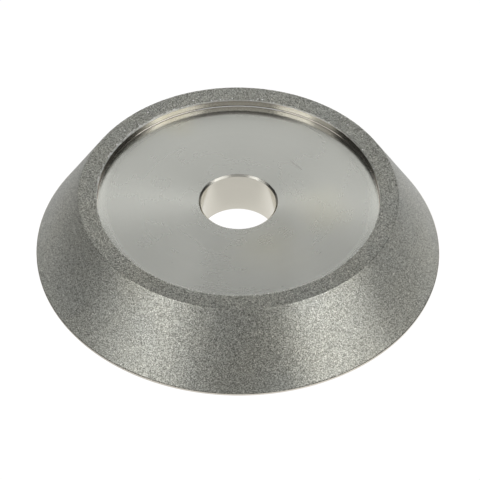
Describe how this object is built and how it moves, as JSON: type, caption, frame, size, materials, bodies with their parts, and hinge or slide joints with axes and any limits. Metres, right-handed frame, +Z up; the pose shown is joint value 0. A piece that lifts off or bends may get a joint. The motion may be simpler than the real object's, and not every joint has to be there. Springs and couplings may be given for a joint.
{
  "type": "grinding wheel",
  "caption": "Conical grinding wheel for sharpening drills: turned steel body with spindle bore and shallow clamping recess, and diamond grit plated over its flank and rim.",
  "frame": {"origin": "centre of the base face, on the wheel's axis", "axes": "+Z up the axis from the wide base towards the narrow gritted rim; X and Y are free, because the wheel is round"},
  "size_m": [0.108, 0.108, 0.02],
  "materials": {
    "turned_steel": "turned and ground, satin, with fine concentric tool marks",
    "plated_grit": "fine diamond grit held in nickel plating, rough and sparkling"
  },
  "bodies": {
    "root": {"wheel_body": "turned_steel", "diamond_layer": "plated_grit"}
  },
  "joints": []
}
